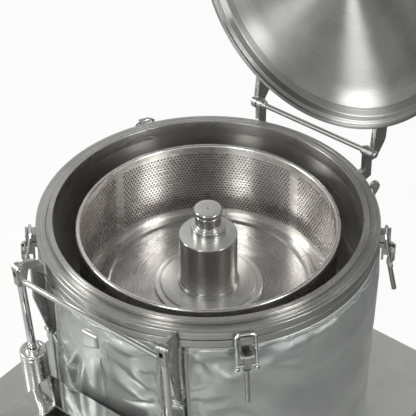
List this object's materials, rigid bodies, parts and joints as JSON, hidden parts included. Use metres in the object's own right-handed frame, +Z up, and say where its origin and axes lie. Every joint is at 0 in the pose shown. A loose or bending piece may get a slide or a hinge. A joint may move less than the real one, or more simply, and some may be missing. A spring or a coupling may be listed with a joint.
{
  "type": "filter centrifuge",
  "caption": "Top-loading filter centrifuge: perforated basket on a vertical spindle in a jacketed casing with a rear-hinged lid and toggle latches, on a deck and base",
  "frame": {"origin": "on the floor at the centre of the four anchor holes, under the spindle axis", "axes": "+Z up along the spindle, +Y towards the lid hinge, -Y towards the operator console, +X to the operator's right"},
  "size_m": [0.65, 0.8871, 1.4503],
  "materials": {
    "insulation_cloth": "silver coated cloth",
    "black_glass_panel": "gloss",
    "polished_rod": "polished",
    "latch_steel": "satin",
    "basket_stainless": "turned and polished",
    "lid_stainless": "spun and brushed",
    "foot_steel": "satin",
    "stainless": "brushed"
  },
  "bodies": {
    "machine": {"arm_left": "stainless", "arm_right": "stainless", "base_cabinet": "stainless", "bearing_housing": "stainless", "casing_floor": "stainless", "casing_lug_left": "stainless", "casing_lug_right": "stainless", "casing_shell": "stainless", "clevis_left": "stainless", "clevis_right": "stainless", "console_housing": "stainless", "console_screen": "black_glass_panel", "cross_rod": "polished_rod", "cylinder_left": "stainless", "cylinder_right": "stainless", "deck_plate": "stainless", "foot_front_left": "foot_steel", "foot_front_right": "foot_steel", "foot_rear_left": "foot_steel", "foot_rear_right": "foot_steel", "hinge_rod": "polished_rod", "jacket_front": "insulation_cloth", "jacket_left": "insulation_cloth", "jacket_right": "insulation_cloth", "latch_base_front_left": "latch_steel", "latch_base_front_right": "latch_steel", "latch_base_rear_left": "latch_steel", "latch_base_rear_right": "latch_steel", "latch_keeper_front_left": "latch_steel", "latch_keeper_front_right": "latch_steel", "latch_keeper_rear_left": "latch_steel", "latch_keeper_rear_right": "latch_steel", "lower_flange": "stainless", "piston_rod_left": "polished_rod", "piston_rod_right": "polished_rod", "stay_eye": "stainless", "upper_ring": "stainless"},
    "basket": {"basket_floor": "basket_stainless", "basket_plate": "basket_stainless", "basket_rim": "basket_stainless", "basket_wall": "basket_stainless", "hub": "basket_stainless", "hub_disc": "basket_stainless", "spindle_nose": "basket_stainless", "spindle_shaft": "basket_stainless"},
    "lid": {"lid_boss": "lid_stainless", "lid_cone": "lid_stainless", "lid_lug_left": "lid_stainless", "lid_lug_right": "lid_stainless", "lid_rim": "lid_stainless"},
    "lever_front_left": {"latch_lever_front_left": "latch_steel"},
    "loop_front_left": {"latch_loop_front_left": "latch_steel"},
    "lever_front_right": {"latch_lever_front_right": "latch_steel"},
    "loop_front_right": {"latch_loop_front_right": "latch_steel"},
    "lever_rear_right": {"latch_lever_rear_right": "latch_steel"},
    "loop_rear_right": {"latch_loop_rear_right": "latch_steel"},
    "lever_rear_left": {"latch_lever_rear_left": "latch_steel"},
    "loop_rear_left": {"latch_loop_rear_left": "latch_steel"}
  },
  "joints": [
    {"name": "basket_spin", "type": "hinge", "parent": "machine", "child": "basket", "pos_m": [0, 0, 0.66], "axis": [0, 0, 1], "continuous": true},
    {"name": "lid_hinge", "type": "hinge", "parent": "machine", "child": "lid", "pos_m": [0, 0.3, 0.875], "axis": [1, 0, 0], "range_deg": [0, 97]},
    {"name": "lever_swing_front_left", "type": "hinge", "parent": "machine", "child": "lever_front_left", "pos_m": [-0.21991, -0.21991, 0.822], "axis": [-0.7071, 0.7071, 0], "range_deg": [0, 90]},
    {"name": "loop_swing_front_left", "type": "hinge", "parent": "lever_front_left", "child": "loop_front_left", "pos_m": [-0.21991, -0.21991, 0.804], "axis": [-0.7071, 0.7071, 0], "range_deg": [-72, 0]},
    {"name": "lever_swing_front_right", "type": "hinge", "parent": "machine", "child": "lever_front_right", "pos_m": [0.23824, -0.19991, 0.822], "axis": [-0.6428, -0.766, 0], "range_deg": [0, 90]},
    {"name": "loop_swing_front_right", "type": "hinge", "parent": "lever_front_right", "child": "loop_front_right", "pos_m": [0.23824, -0.19991, 0.804], "axis": [-0.6428, -0.766, 0], "range_deg": [-72, 0]},
    {"name": "lever_swing_rear_right", "type": "hinge", "parent": "machine", "child": "lever_rear_right", "pos_m": [0.26658, 0.16018, 0.822], "axis": [0.515, -0.8572, 0], "range_deg": [0, 90]},
    {"name": "loop_swing_rear_right", "type": "hinge", "parent": "lever_rear_right", "child": "loop_rear_right", "pos_m": [0.26658, 0.16018, 0.804], "axis": [0.515, -0.8572, 0], "range_deg": [-72, 0]},
    {"name": "lever_swing_rear_left", "type": "hinge", "parent": "machine", "child": "lever_rear_left", "pos_m": [-0.27201, 0.15078, 0.822], "axis": [0.4848, 0.8746, 0], "range_deg": [0, 90]},
    {"name": "loop_swing_rear_left", "type": "hinge", "parent": "lever_rear_left", "child": "loop_rear_left", "pos_m": [-0.27201, 0.15078, 0.804], "axis": [0.4848, 0.8746, 0], "range_deg": [-72, 0]}
  ],
  "couplings": [
    {"joint": "loop_swing_front_left", "follows": "lever_swing_front_left", "ratio": -0.8},
    {"joint": "loop_swing_front_right", "follows": "lever_swing_front_right", "ratio": -0.8},
    {"joint": "loop_swing_rear_right", "follows": "lever_swing_rear_right", "ratio": -0.8},
    {"joint": "loop_swing_rear_left", "follows": "lever_swing_rear_left", "ratio": -0.8}
  ]
}
